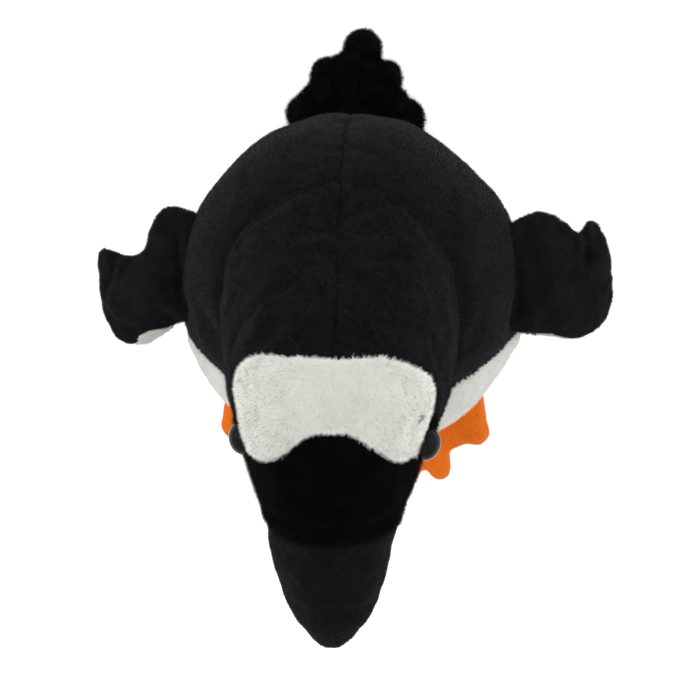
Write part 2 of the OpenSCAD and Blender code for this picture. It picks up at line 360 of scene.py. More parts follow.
def panel(bag, name, mask, rim):
    """The faces of bag in mask, with the skin's own normals kept at its points."""
    keep = np.nonzero(mask)[0]
    polys = bag.data.polygons
    faces = [tuple(polys[i].vertices) for i in keep]
    used = sorted({v for f in faces for v in f})
    index = {v: k for k, v in enumerate(used)}
    co = coords(bag)
    obj = mesh_object(name, co[used], [tuple(index[v] for v in f) for f in faces])
    skin_normals = normals(bag)[used]
    roll_edges(obj, skin_normals, rim * MM)
    obj.data.attributes.new("skin_normal", "FLOAT_VECTOR", "POINT").data.foreach_set(
        "vector", skin_normals.astype(np.float32).ravel()
    )
    return obj


# ---- materials ----

def new_material(name):
    mat = bpy.data.materials.new(name)
    mat.use_nodes = True
    shader = mat.node_tree.nodes["Principled BSDF"]
    return mat, shader


def set_inputs(node, values):
    for name, value in values.items():
        node.inputs[name].default_value = value


def noise_node(tree, scale, detail):
    """Noise fixed to the object, `scale` features to a metre."""
    coord = tree.nodes.new("ShaderNodeTexCoord")
    node = tree.nodes.new("ShaderNodeTexNoise")
    set_inputs(node, {"Scale": scale, "Detail": detail})
    tree.links.new(coord.outputs["Object"], node.inputs["Vector"])
    return node


def ramp_node(tree, source, stops):
    """A colour ramp over `source`. stops are (place, colour)."""
    ramp = tree.nodes.new("ShaderNodeValToRGB")
    elements = ramp.color_ramp.elements
    while len(elements) < len(stops):
        elements.new(0.5)
    for element, (at, colour) in zip(elements, stops):
        element.position = at
        element.color = (*colour, 1)
    tree.links.new(source, ramp.inputs["Fac"])
    return ramp


def cloth_material(name, deep, mid, light, sheen=0.4, sheen_tint=(1, 1, 1), grain=480.0, bump=0.0008):
    """Pile cloth: patchy nap, fine grain and a soft sheen at grazing angles."""
    mat, shader = new_material(name)
    tree = mat.node_tree
    nap = noise_node(tree, 38.0, 4.0)
    fine = noise_node(tree, grain, 2.0)
    mix = tree.nodes.new("ShaderNodeMix")
    mix.data_type = "FLOAT"
    set_inputs(mix, {"Factor": 0.55})
    tree.links.new(nap.outputs["Fac"], mix.inputs["A"])
    tree.links.new(fine.outputs["Fac"], mix.inputs["B"])
    ramp = ramp_node(tree, mix.outputs["Result"], [(0.3, deep), (0.5, mid), (0.72, light)])
    tree.links.new(ramp.outputs["Color"], shader.inputs["Base Color"])
    set_inputs(shader, {
        "Roughness": 0.9,
        "Sheen Weight": sheen,
        "Sheen Roughness": 0.45,
        "Sheen Tint": (*sheen_tint, 1),
        "Specular IOR Level": 0.05,
    })
    node = tree.nodes.new("ShaderNodeBump")
    set_inputs(node, {"Strength": 0.5, "Distance": bump})
    tree.links.new(fine.outputs["Fac"], node.inputs["Height"])
    tree.links.new(node.outputs["Normal"], shader.inputs["Normal"])
    return mat


def pile_shades(name, colours, sheen=0.3, glow=0.0):
    """Plain shades of one fibre, several to a coat. glow is painted light: the pile glows a little, which
    lifts the shade between its fibres.
    """
    shades = []
    for i, colour in enumerate(colours):
        mat, shader = new_material(f"{name}_{i}")
        set_inputs(shader, {
            "Base Color": (*colour, 1),
            "Roughness": 0.85,
            "Sheen Weight": sheen,
            "Sheen Roughness": 0.4,
            "Emission Color": (*colour, 1),
            "Emission Strength": glow,
            "Specular IOR Level": 0.05,
        })
        shades.append(mat)
    return shades


def moulded_material(name, colour, rough, ior=1.45):
    """Moulded plastic, with a faint cloudiness in its colour."""
    mat, shader = new_material(name)
    tree = mat.node_tree
    cloud = noise_node(tree, 160.0, 2.0)
    paler = tuple(c * 1.6 for c in colour)
    ramp = ramp_node(tree, cloud.outputs["Fac"], [(0.35, colour), (0.7, paler)])
    tree.links.new(ramp.outputs["Color"], shader.inputs["Base Color"])
    set_inputs(shader, {"Roughness": rough, "IOR": ior})
    return mat


# The finish of each slot in the record. A cloth has a deep, a middle and a light colour
MATERIALS = {
    "black_plush": cloth_material(
        "black_plush", (0.0045, 0.0043, 0.0055), (0.0065, 0.0062, 0.0080), (0.0095, 0.0092, 0.0115),
        sheen=0.04, sheen_tint=(0.8, 0.8, 1.0)),
    "white_plush": cloth_material(
        "white_plush", (0.52, 0.52, 0.48), (0.60, 0.60, 0.56), (0.67, 0.67, 0.63), sheen=0.1),
    "fluffy_white": cloth_material(
        "fluffy_white", (0.88, 0.88, 0.83), (0.90, 0.90, 0.85), (0.92, 0.92, 0.87), sheen=0.1),
    "deep_black_plush": cloth_material(
        "deep_black_plush", (0.0008, 0.0008, 0.0011), (0.0013, 0.0013, 0.0018), (0.0024, 0.0024, 0.003),
        sheen=0.01),
    "charcoal_velour": cloth_material(
        "charcoal_velour", (0.0036, 0.0036, 0.0044), (0.0048, 0.0048, 0.0058), (0.0068, 0.0068, 0.0082),
        sheen=0.03, grain=900.0, bump=0.0004),
    "tail_plush": cloth_material(
        "tail_plush", (0.0010, 0.0010, 0.0015), (0.0018, 0.0018, 0.0026), (0.0032, 0.0032, 0.0044),
        sheen=0.02),
    "orange_velour": cloth_material(
        "orange_velour", (0.60, 0.115, 0.008), (0.74, 0.155, 0.012), (0.82, 0.20, 0.02), sheen=0.12,
        sheen_tint=(1, 0.7, 0.4), grain=900.0, bump=0.0004),
    "pale_felt": cloth_material(
        "pale_felt", (0.48, 0.46, 0.42), (0.60, 0.58, 0.53), (0.70, 0.68, 0.63), sheen=0.2, grain=1200.0,
        bump=0.0003),
    "fibre_fill": cloth_material(
        "fibre_fill", (0.70, 0.69, 0.66), (0.80, 0.79, 0.76), (0.88, 0.87, 0.85), sheen=0.3, grain=200.0,
        bump=0.0015),
    "pouch_cloth": cloth_material(
        "pouch_cloth", (0.42, 0.39, 0.32), (0.50, 0.47, 0.39), (0.58, 0.55, 0.46), grain=1200.0,
        bump=0.0003),
    "smoky_plastic": moulded_material("smoky_plastic", (0.0062, 0.0056, 0.0048), 0.14, 1.16),
    "washer_plastic": moulded_material("washer_plastic", (0.70, 0.70, 0.70), 0.45),
}

# The shades of each coat of fibres
PILES = {
    "black_plush": pile_shades(
        "black_pile", [(0.0038, 0.0036, 0.0048), (0.0062, 0.0060, 0.0078), (0.0100, 0.0096, 0.0124)],
        sheen=0.04),
    # The hood's coat is the black pile darkened: painted shade, the same cloth as it looks in less light
    "hood_shaded_black": pile_shades(
        "hood_shaded_pile", [(0.0026, 0.0025, 0.0034), (0.0044, 0.0042, 0.0055), (0.0070, 0.0068, 0.0088)],
        sheen=0.03),
    # The flippers' coat is the black pile lightened: painted light, the same cloth as it looks in more light
    "flipper_lit_black": pile_shades(
        "flipper_lit_pile", [(0.0066, 0.0067, 0.0084), (0.0096, 0.0097, 0.0118), (0.0132, 0.0133, 0.0160)],
        sheen=0.04),
    "white_plush": pile_shades("white_pile", [(0.58, 0.58, 0.54), (0.63, 0.63, 0.59), (0.68, 0.68, 0.64)]),
    # The white band's pile glows a little: painted light, which lifts the shade between its fibres
    "fluffy_white": pile_shades(
        "fluffy_pile", [(0.86, 0.86, 0.81), (0.88, 0.88, 0.83), (0.90, 0.90, 0.85)], glow=0.045),
    "deep_black_plush": pile_shades(
        "deep_pile", [(0.0008, 0.0008, 0.0012), (0.0014, 0.0014, 0.0020), (0.0026, 0.0026, 0.0034)],
        sheen=0.01),
    "charcoal_velour": pile_shades(
        "charcoal_pile", [(0.0036, 0.0036, 0.0045), (0.0050, 0.0050, 0.0060), (0.0068, 0.0068, 0.0082)],
        sheen=0.03),
    "tail_plush": pile_shades(
        "tail_pile", [(0.0004, 0.0004, 0.0008), (0.0016, 0.0016, 0.0025), (0.0048, 0.0047, 0.0066)],
        sheen=0.02),
    "orange_velour": pile_shades(
        "orange_pile", [(0.62, 0.12, 0.008), (0.76, 0.165, 0.014), (0.86, 0.22, 0.03)]),
}


# ---- pile ----

def fibre_roots(skin_panel, count, rng):
    """Where the fibres are rooted, evenly over the panel, and the skin's normal at each."""
    mesh = skin_panel.data
    mesh.calc_loop_triangles()
    tri = read(mesh.loop_triangles, "vertices", 3, np.int32)
    co = coords(skin_panel)
    no = read(mesh.attributes["skin_normal"].data, "vector", 3, np.float32).astype(float)
    a, b, c = (co[tri[:, k]] for k in range(3))
    area = np.linalg.norm(np.cross(b - a, c - a), axis=1) / 2
    pick = rng.choice(len(tri), count, p=area / area.sum())
    u, v = rng.random(count), rng.random(count)
    flip = u + v > 1
    u[flip], v[flip] = 1 - u[flip], 1 - v[flip]
    w = np.stack([1 - u - v, u, v], 1)
    root = sum(co[tri[pick, k]] * w[:, k:k + 1] for k in range(3))
    n = sum(no[tri[pick, k]] * w[:, k:k + 1] for k in range(3))
    return root, n / np.linalg.norm(n, axis=1)[:, None]


def fibre_corners(root, n, look, swirl, seed, rng):
    """Three corners for each blade: two at its foot, and its tip, which leans along the nap."""
    length, width, lean, groom = look
    count = len(root)
    nap = np.asarray(groom, float) + rng.normal(0, 0.5, (count, 3))
    nap += swirl * np.stack([value_noise(root, 9 * MM, seed + k) for k in range(3)], 1)
    nap -= n * np.sum(nap * n, 1)[:, None]
    nap /= np.maximum(np.linalg.norm(nap, axis=1), 1e-6)[:, None]
    side = np.cross(n, nap)
    size = length * (0.6 + 0.65 * rng.random(count) ** 1.5) * (1 + 0.2 * value_noise(root, 5 * MM, seed + 9))
    tilt = np.clip(lean + rng.normal(0, 0.18, count), 0.1, 1.35)
    tip = root + (n * np.cos(tilt)[:, None] + nap * np.sin(tilt)[:, None]) * size[:, None]
    foot = root - n * 0.3 * MM
    half = side * (width * (0.7 + 0.6 * rng.random(count)) / 2)[:, None]
    return np.stack([foot + half, foot - half, tip], 1).reshape(-1, 3)


def fibre_shades(root, kinds, seed, rng):
    """Which shade each fibre has: partly chance, partly patches of two sizes."""
    patchy = 0.4 * rng.random(len(root)) + 0.3 + 0.35 * value_noise(root, 11 * MM, seed + 5)
    patchy += 0.35 * value_noise(root, 3.2 * MM, seed + 6)
    return np.clip((patchy * kinds).astype(np.int32), 0, kinds - 1)


def blade_normals(verts, n):
    """Mostly the skin's own normals, so that a coat is shaded as one surface."""
    flat = np.cross(verts[1::3] - verts[0::3], verts[2::3] - verts[0::3])
    flat /= np.maximum(np.linalg.norm(flat, axis=1), 1e-12)[:, None]
    bent = n * 0.82 + flat * 0.18
    bent /= np.linalg.norm(bent, axis=1)[:, None]
    return np.repeat(bent, 3, axis=0).tolist()


def triangle_mesh(name, verts):
    """A mesh of separate triangles, three points each."""
    count = len(verts) // 3
    mesh = bpy.data.meshes.new(name)
    mesh.vertices.add(len(verts))
    mesh.vertices.foreach_set("co", verts.ravel())
    mesh.loops.add(len(verts))
    mesh.loops.foreach_set("vertex_index", np.arange(len(verts), dtype=np.int32))
    mesh.polygons.add(count)
    mesh.polygons.foreach_set("loop_start", np.arange(0, len(verts), 3, dtype=np.int32))
    mesh.polygons.foreach_set("loop_total", np.full(count, 3, np.int32))
    return mesh


def pile(skin_panel, name, coat, shades, seed, swirl):
    """Fibres rooted all over a panel: narrow blades that lean along the nap."""
    count, *look = coat
    rng = np.random.default_rng(seed)
    root, n = fibre_roots(skin_panel, count, rng)
    verts = fibre_corners(root, n, look, swirl, seed, rng)
    mesh = triangle_mesh(name, verts)
    for mat in shades:
        mesh.materials.append(mat)
    mesh.polygons.foreach_set("material_index", fibre_shades(root, len(shades), seed, rng))
    mesh.update(calc_edges=True)
    mesh.validate()
    mesh.shade_smooth()
    mesh.normals_split_custom_set_from_vertices(blade_normals(verts, n))
    return linked(name, mesh)


# ---- finishing a piece ----

def hold(obj, binding):
    """Fixes a piece to the body it rides on; otherwise bakes its place into its mesh, where it stays."""
    if isinstance(binding, str):
        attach(obj, binding)
    else:
        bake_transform(obj)


def sew(bag, name, mask, slot, binding, nodes, thickness=1.5, coat=None, seed=1, shades=None, rim=0.7,
        swirl=0.6):
    """One cloth panel with its pile. coat is (fibres, length, width, lean, groom) in metres and radians."""
    obj = panel(bag, name, mask, rim)
    fibres = None
    if coat:
        fibres = pile(obj, "pile_" + name, coat, PILES[shades or slot], seed, swirl)
    solid = obj.modifiers.new("Thickness", "SOLIDIFY")
    solid.thickness = thickness * MM
    solid.offset = -1
    apply_modifiers(obj)
    obj.data.attributes.remove(obj.data.attributes["skin_normal"])
    obj.data.shade_smooth()
    obj.data.materials.append(MATERIALS[slot])
    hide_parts(*nodes)
    for piece in (obj, fibres):
        if piece:
            hold(piece, binding)
    return obj


def stuffing(bag, name, binding, inset):
    """The filling of a skin: the same form a little inside it, in soft clumps."""
    co = coords(bag)
    lumps = value_noise(co, 14 * MM, 5) * 0.8 * MM
    obj = bag.copy()
    obj.data = bag.data.copy()
    obj.name = obj.data.name = "fill_" + name
    bpy.context.scene.collection.objects.link(obj)
    set_coords(obj, co - normals(bag) * (inset + 0.8 * MM - lumps)[:, None])
    obj.data.materials.clear()
    obj.data.materials.append(MATERIALS["fibre_fill"])
    obj.data.shade_smooth()
    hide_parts(name)
    hold(obj, binding)
    return obj


def discard(bag):
    bpy.data.objects.remove(bag)


# ---- body ----

def belly_edge(co):
    """Positive on the white belly, as distance from its sewn edge."""
    across = np.sqrt(co[:, 0] ** 2 + (34 * MM) ** 2)
    return (-co[:, 1] - (94.6 * MM - 0.562 * across)) / 1.14


def body_line():
    """Half the body's outline: bulging up from the base, then round over the top."""
    low_h = BODY_R / math.sqrt(1 - (BASE_R / BODY_R) ** 2)
    line = [(BASE_R * 0.96, 0)]
    for z in np.linspace(0.02, 1, 16) * BODY_R:
        line.append((BODY_R * math.sqrt(1 - ((BODY_R - z) / low_h) ** 2), z))
    for a in np.linspace(0, math.pi / 2, 20)[1:-1]:
        line.append((BODY_R * math.cos(a), BODY_R + BODY_R * math.sin(a)))
    return line


# Slow swells and hollows round the back: bearing from the tail, spread, amount
BACK_SWELLS = [(40, 13, -2.3), (67, 12, 2.2), (-41, 14, -1.0), (-63, 11, 0.8)]


# Short creases behind the neck: bearing from the tail side, half-spread, radius in plan, depth
NECK_FOLDS = [(7, 11, 77, 1.3), (-4, 9, 84, 1.0), (-16, 9, 72.5, 1.2), (20, 8, 73, 0.9)]


def body_swell(co):
    """How far the flanks, hips and back stand out from a plain round body, in design millimetres."""
    z = co[:, 2]
    ahead = np.degrees(np.arctan2(-co[:, 1], np.abs(co[:, 0])))
    flank = smoothstep(np.clip((ahead - 4) / 20, 0, 1))
    swell = 6.5 * flank * fade(z - 98 * MM, 46 * MM)
    hip = np.where(co[:, 0] > 0, 10, 8.5) * fade(ahead - 15, 8)
    swell += hip * fade(z - 84 * MM, 29 * MM)
    for bearing, spread, amount in BACK_SWELLS:
        off = np.degrees(np.arctan2(co[:, 0], co[:, 1])) - bearing
        swell += amount * fade(off, spread) * fade(z - 104 * MM, 50 * MM)
    return swell


def swollen(co):
    """The round body's points with its swells added, a little slimmer above the base."""
    out = co[:, :2] / np.maximum(np.linalg.norm(co[:, :2], axis=1), 1e-6)[:, None]
    co[:, :2] += out * (body_swell(co) * MM)[:, None]
    slim = 1 - 0.015 * np.clip((co[:, 2] - 20 * MM) / (50 * MM), 0, 1)
    co[:, :2] *= slim[:, None]
    co[:, 2] = np.maximum(co[:, 2], 0.4 * MM)
    return co


def body_pins(co):
    """1 where the body's cloth is sewn, rests on the floor or is under the head."""
    border = np.minimum(np.abs(belly_edge(co)), np.abs(co[:, 2] - NECK_Z))
    back = np.where((co[:, 1] > -60 * MM) & (co[:, 2] > 128 * MM), np.abs(co[:, 0]), FAR)
    pinned = np.maximum(fade(np.minimum(border, back), 3.5 * MM), co[:, 2] < 5 * MM)
    return np.maximum(pinned, co[:, 2] > NECK_Z)


def crease_body(bag):
    """Wrinkles above the base, short folds at the nape, and the seams pulled in."""
    co = coords(bag)
    wrinkle = value_noise(co * (1, 1, 0.35), 17 * MM, 3) * 0.9 + value_noise(co, 34 * MM, 8) * 1.1
    free = np.clip((co[:, 2] - 12 * MM) / (20 * MM), 0, 1)
    push_out(bag, wrinkle * free * MM)
    for azimuth, spread, radius, depth in NECK_FOLDS:
        sink_seam(bag, lambda p: fold_distance(p, azimuth, spread, radius), depth * MM, 1.7 * MM)
    sink_seam(bag, belly_edge, 1.5 * MM, 3 * MM)
    sink_seam(bag, lambda p: np.where(p[:, 2] > 124 * MM, np.abs(p[:, 0]), FAR), 0.9 * MM, 2.4 * MM)
    sink_seam(bag, lambda p: np.where(p[:, 1] > -40 * MM, np.abs(p[:, 0]), FAR), 0.5 * MM, 1.8 * MM)
    sink_seam(bag, lambda p: p[:, 2] - NECK_Z, 2.2 * MM, 4 * MM)


def body_bag():
    """The whole skin of the body, stuffed and creased."""
    bag = rounded(turned("body_skin", body_line(), Matrix.Identity(4), 96), 5.5 * MM, 4)
    co = swollen(coords(bag))
    set_coords(bag, co)
    inflate(bag, body_pins(co), 4 * MM, 3.0)
    subdivided(bag)
    for edge in (belly_edge, lambda p: p[:, 0], lambda p: p[:, 2] - NECK_Z, lambda p: p[:, 2] - 3 * MM):
        snap(bag, edge, 1.2 * MM)
    crease_body(bag)
    keep_above(bag, 0)
    return bag


def fold_distance(co, azimuth, spread, radius):
    """Distance from one crease behind the neck."""
    bearing = np.degrees(np.arctan2(-co[:, 0], co[:, 1])) - azimuth
    over = np.maximum(np.abs(bearing) - spread, 0) * 0.6 * MM
    across = np.hypot(co[:, 0], co[:, 1]) - (radius + 0.05 * np.abs(bearing)) * MM
    return np.where(co[:, 2] > 120 * MM, np.hypot(across, over), FAR)


def build_body():
    bag = body_bag()
    c = centres(bag)
    below = c[:, 2] < NECK_Z + 1 * MM
    base = c[:, 2] < 3 * MM
    belly = belly_edge(c) > 0
    side = below & ~base
    black = (2.2 * MM, 0.34 * MM, 0.95, (0, 0.3, -1))
    for word, half, seed in (("left", c[:, 0] > 0, 11), ("right", c[:, 0] <= 0, 12)):
        sew(bag, "back_" + word, side & ~belly & half, "black_plush", "body", ["back_panel_" + word],
            coat=(60000, *black), seed=seed)
    sew(bag, "belly", side & belly, "white_plush", "body", ["belly_panel"],
        coat=(45000, 2.2 * MM, 0.36 * MM, 0.95, (0, -0.3, -1)), seed=13)
    sew(bag, "base", base, "black_plush", "body", ["base_panel"])
    stuffing(bag, "body_stuffing", "body", 5 * MM)
    discard(bag)


def build_pouch():
    """A pillow of pellets with a pinched edge, inside the base."""
    low, high = (np.array(p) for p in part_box("pellet_pouch"))
    r, h = (high[0] - low[0]) / 2, high[2] - low[2]
    line = [(r * math.cos(a) ** 0.5 if abs(a) < 1.55 else 0, h / 2 * math.sin(a))
            for a in np.linspace(-1.5, 1.5, 21)]
    obj = turned("pouch", line, Matrix.Translation((0, 0, (low[2] + high[2]) / 2)), 64)
    push_out(obj, value_noise(coords(obj), 4 * MM, 2) * 0.5 * MM - 0.5 * MM)
    obj.data.materials.append(MATERIALS["pouch_cloth"])
    obj.data.shade_smooth()
    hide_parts("pellet_pouch")
    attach(obj, "body")


# ---- head ----

# The snout's half outline: (distance from the skull's centre, radius), in design millimetres
SNOUT_LINE = [(42, 47.2), (49, 45.2), (60, 42.0), (72, 39.0), (85, 36.4), (105, 32.4), (123, 28.6), (137, 24),
              (147, 19.4), (155, 14), (161, 9), (165, 4.6), (166.8, 0.5)]


def along_snout(co):
    return (co - SKULL) @ SNOUT


def snout_place():
    """Puts a shape turned about Z on the snout, its Z ahead from the skull's centre."""
    return Matrix.Translation(Vector(SKULL)) @ Matrix.Rotation(math.pi / 2 + TILT, 4, "X")


def head_bag():
    """The head's form before it is stuffed: skull and snout, with a nape and cheeks round them."""
    angles = np.radians(np.linspace(-88, 24, 24))
    skull = [(SKULL_R * math.cos(a), SKULL_R * math.sin(a)) for a in angles]
    line = skull + [(r * MM, s * MM) for s, r in SNOUT_LINE]
    nape = ball_points(SKULL, SKULL_R)
    nape += ring_points((-1.5 * MM, 0, NECK_Z), NECK_R, UP)
    nape += ring_points((-1.5 * MM, 0, NECK_Z - 14 * MM), NECK_R - 1 * MM, UP)
    nape += ring_points(SKULL + SNOUT * 49 * MM, 45.2 * MM, SNOUT)
    for across in (42, -39):
        nape += ball_points(np.array([across, -43, 210]) * MM, 20 * MM)
    parts = [turned("snout", line, snout_place(), 72), hulled("nape", nape)]
    return rounded(joined("head_skin", parts), 3.6 * MM, 5)


def middle_x(co):
    """The sewn middle of the hood strays a little to the left as it climbs."""
    return 2.8 * MM * np.clip((co[:, 2] - 190 * MM) / (60 * MM), 0, 1)


def neck_seam(co):
    """Height above the neck seam, near it."""
    return np.where(co[:, 1] > -66 * MM, co[:, 2] - NECK_Z, FAR)


def outside_body(co):
    """True for points clear of the body's round top."""
    return np.linalg.norm(co - UP * BODY_R, axis=1) > BODY_R + 1.5 * MM


def hood_seam(co):
    """Distance from the centre seam of the hood."""
    behind = (hood_front(co) < 0) & (band_edge(co) < 0)
    return np.where(behind, co[:, 0] - middle_x(co), FAR)


def band_front(x):
    """Y of the band's front edge, notched back in the middle over the face."""
    t = np.clip((np.abs(x) - 6 * MM) / (31 * MM), 0, 1)
    return -51 * MM - 21 * MM * smoothstep(t)


def band_edge(co):
    """Positive inside the white forehead band, as distance from its edge."""
    x, y, z = co.T
    x = x - 1.6 * MM
    rear = -13.8 * MM - 5 * MM * np.abs(x / (46 * MM)) ** 5 - y
    front = y - band_front(x)
    rise = np.clip((y + 46 * MM) / (30 * MM), 0, 1)
    low = (z - 234.8 * MM - (25 + 7 * (x > 0)) * MM * rise ** 2) * 0.75
    return np.minimum(np.minimum(rear, front * 0.85), low)


def beak_edge(co):
    """Positive on the beak, as distance from its root seam."""
    return along_snout(co) - BEAK_ROOT


def beak_side_edge(co):
    """Positive above the side seams of the beak."""
    up = np.array([0, -math.sin(TILT), math.cos(TILT)])
    return (co - SKULL) @ up + 9 * MM


def hood_front(co):
    """Positive in front of the hood: the face above, the throat below."""
    return -co[:, 1] - (50 + 16 * np.clip((232 * MM - co[:, 2]) / (16 * MM), 0, 1)) * MM


def throat_edge(co):
    """Height above the seam between the throat and the face."""
    return co[:, 2] - 214 * MM


def head_seam(co):
    """Distance to the nearest seam of the head."""
    d = np.minimum(np.abs(band_edge(co)), np.abs(beak_edge(co)))
    behind = along_snout(co) < BEAK_ROOT
    beak_seams = np.minimum(np.abs(co[:, 0]), np.abs(beak_side_edge(co)))
    d = np.where(~behind, np.minimum(d, beak_seams), d)
    d = np.where(behind, np.minimum(d, np.abs(hood_seam(co))), d)
    return np.minimum(d, np.abs(neck_seam(co)))


def beak_only(distance):
    """A distance that counts on the beak alone."""
    return lambda co: np.where(along_snout(co) > BEAK_ROOT, distance(co), FAR)


def shape_head(bag):
    """Stuffs the head, draws its seams in, and bends the snout a little to one side."""
    pinned = fade(head_seam(coords(bag)), 2.6 * MM)
    pinned = np.maximum(pinned, neck_seam(coords(bag)) < 0)
    inflate(bag, pinned, 3 * MM, 3.0)
    subdivided(bag)
    for edge in (band_edge, beak_edge, hood_seam, neck_seam, hood_front):
        snap(bag, edge, 0.8 * MM)
    co = coords(bag)
    free = np.clip((60 * MM - along_snout(co)) / (20 * MM), 0.4, 1)
    lumps = (value_noise(co * (1, 0.4, 1), 12 * MM, 4) * 0.5 + value_noise(co, 26 * MM, 6) * 0.8) * free
    push_out(bag, lumps * MM)
    sink_seam(bag, band_edge, 0.9 * MM, 2.2 * MM)
    sink_seam(bag, beak_edge, 0.9 * MM, 2.4 * MM)
    sink_seam(bag, beak_only(lambda p: p[:, 0]), 0.7 * MM, 2.0 * MM)
    sink_seam(bag, beak_only(beak_side_edge), 0.9 * MM, 2.0 * MM)
    sink_seam(bag, hood_seam, 1.2 * MM, 2.2 * MM)
    sink_seam(bag, neck_seam, 1.6 * MM, 3 * MM)
    co = coords(bag)
    s = along_snout(co) / MM
    co[:, 0] -= (3.2 * np.clip(s / 164, 0, 1) + 1.1 * fade(s - 108, 26)) * MM
    set_coords(bag, co)
    return bag


def sew_hood(bag, hood, left, bend):
    """The two halves of the hood."""
    black = (2.2 * MM, 0.34 * MM, 0.95, (0, 1, -0.6))
    for word, half, seed in (("left", left, 21), ("right", ~left, 22)):
        # Their pile is the darkened copy of the black pile: painted shade
        sew(bag, "hood_" + word[0], hood & half, "black_plush", bend, ["hood_" + word],
            coat=(36000, *black), seed=seed, shades="hood_shaded_black")


def sew_face(bag, face, throat, bend):
    """The deep black cloth round the beak: the face rides the head, the throat stays fixed where it is made.
    """
    sew(bag, "face", face, "deep_black_plush", "head", ["face_panel"],
        coat=(42000, 4.0 * MM, 0.34 * MM, 0.85, (0, -1, -0.3)), seed=24)
    sew(bag, "throat", throat, "deep_black_plush", bend, ["throat_panel"],
        coat=(16000, 3.2 * MM, 0.36 * MM, 0.8, (0, -0.3, -1)), seed=25)


def sew_beak(bag, beak, c):
    """Two upper halves and one lower panel, in close velour."""
    velour = (16000, 1.1 * MM, 0.22 * MM, 0.5, (0, -1, 0))
    top = beak_side_edge(c) > 0
    for word, half, seed in (("left", c[:, 0] > 0, 26), ("right", c[:, 0] <= 0, 27)):
        sew(bag, "beak_" + word[0], beak & top & half, "charcoal_velour", "head", ["beak_upper_" + word],
            coat=velour, seed=seed, rim=0.35)
    sew(bag, "beak_under", beak & ~top, "charcoal_velour", "head", ["beak_lower"],
        coat=velour, seed=28, rim=0.35)


def stuff_beak():
    """The beak's own filling, inside its cloth."""
    core = [(max(r - 5, 0.5) * MM, s * MM) for s, r in SNOUT_LINE if 84 < s < 160]
    inner = rounded(turned("beak_core", core, snout_place(), 40), 4 * MM, 2)
    stuffing(inner, "beak_stuffing", "head", 0.5 * MM)
    discard(inner)


def build_head():
    bag = shape_head(head_bag())
    c = centres(bag)
    # In front, the cloth is tucked further down into the body, so that it doesn't part when the head lifts
    tucked = 8 * MM * np.clip((-c[:, 1] - 20 * MM) / (30 * MM), 0, 1)
    shown = (c[:, 2] > NECK_Z - 1.5 * MM - tucked) | outside_body(c)
    band = band_edge(c) > 0
    beak = beak_edge(c) > 0
    ahead = (hood_front(c) > 0) & ~band & ~beak
    bend = ("body", "head", (0, 0, NECK_Z + 3.8 * MM), (0, -3 * MM, NECK_Z + 20.5 * MM))
    sew_hood(bag, shown & ~band & ~beak & ~ahead, c[:, 0] > middle_x(c), bend)
    sew(bag, "band", shown & band & ~beak, "fluffy_white", "head", ["forehead_band"],
        coat=(90000, 3.0 * MM, 0.34 * MM, 0.8, (0, -0.1, -0.05)), seed=23, swirl=0.15)
    above = throat_edge(c) > 0
    sew_face(bag, shown & ahead & above, shown & ahead & ~above, bend)
    sew_beak(bag, beak, c)
    stuffing(bag, "head_stuffing", bend, 5 * MM)
    stuff_beak()
    return bag


# ---- eyes ----

# A domed eye on a stem, which goes through a felt ring and is held by a washer inside the head
EYE_R = 9.1 * MM
EYE_RISE = 7.4 * MM
EYE_BACK = 0.8 * MM
STEM_R = 1.8 * MM
STEM_LENGTH = 11 * MM
STEM_HOLE_R = 2.1 * MM
RING_R = 9.9 * MM


def eye_frame(bag, side):
    """Where an eye sits on the skin of the head, its Z pointing out of it."""
    out = Vector((side * math.cos(0.22), -0.12, math.sin(0.22))).normalized()
    start = Vector((0, (-61 - 1.2 * (side > 0)) * MM, 220 * MM))
    hit, place, normal, _ = bag.ray_cast(start, out)
    if not hit:
        raise RuntimeError("no skin at the eye")
    axis = (normal * 0.6 + out * 0.4).normalized()
    place += axis * (1.2 * MM if side > 0 else 0)
    return Matrix.Translation(place) @ axis.to_track_quat("Z", "Y").to_matrix().to_4x4()


def eyeball(name, place):
    line = [(0.3 * MM, -STEM_LENGTH), (STEM_R, -STEM_LENGTH), (STEM_R, -EYE_BACK), (EYE_R * 0.9, -EYE_BACK),
            (EYE_R, 0)]
    for a in np.linspace(0.02, 1.55, 16):
        line.append((EYE_R * math.cos(a), 0.6 * MM + EYE_RISE * math.sin(a)))
    return turned(name, line, place, 64)


def felt_ring(name, place):
    line = [(STEM_HOLE_R, -1.6 * MM), (RING_R - 0.4 * MM, -1.7 * MM), (RING_R, -1.2 * MM),
            (RING_R - 0.3 * MM, -0.6 * MM), (STEM_HOLE_R, -0.7 * MM)]
    felt = ring_turned(name, line, place)
    push_out(felt, value_noise(coords(felt), 1.2 * MM, 7) * 0.15 * MM)
    return felt


def lock_washer(name, node, place):
    """A flat plate with a bevelled rim round this eye's stem, about as wide as the frame's washer."""
    low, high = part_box(node)
    plate_r = (high[1] - low[1]) / 2
    line = [(STEM_HOLE_R, -9.2 * MM), (plate_r - 0.4 * MM, -9.2 * MM), (plate_r, -8.8 * MM),
            (plate_r, -8.2 * MM), (plate_r - 0.4 * MM, -7.8 * MM), (STEM_HOLE_R, -7.8 * MM)]
    return ring_turned(name, line, place)


def build_eye(bag, side, word):
    place = eye_frame(bag, side)
    eye = eyeball("eyeball_" + word, place)
    felt = felt_ring("felt_" + word, place)
    washer = lock_washer("washer_" + word, "eye_washer_" + word, place)
    for obj, slot, node in ((eye, "smoky_plastic", "eye_"), (felt, "pale_felt", "eye_ring_"),
                            (washer, "washer_plastic", "eye_washer_")):
        obj.data.materials.append(MATERIALS[slot])
        obj.data.shade_smooth()
        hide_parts(node + word)
        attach(obj, "head")


# ---- flat stuffed limbs ----

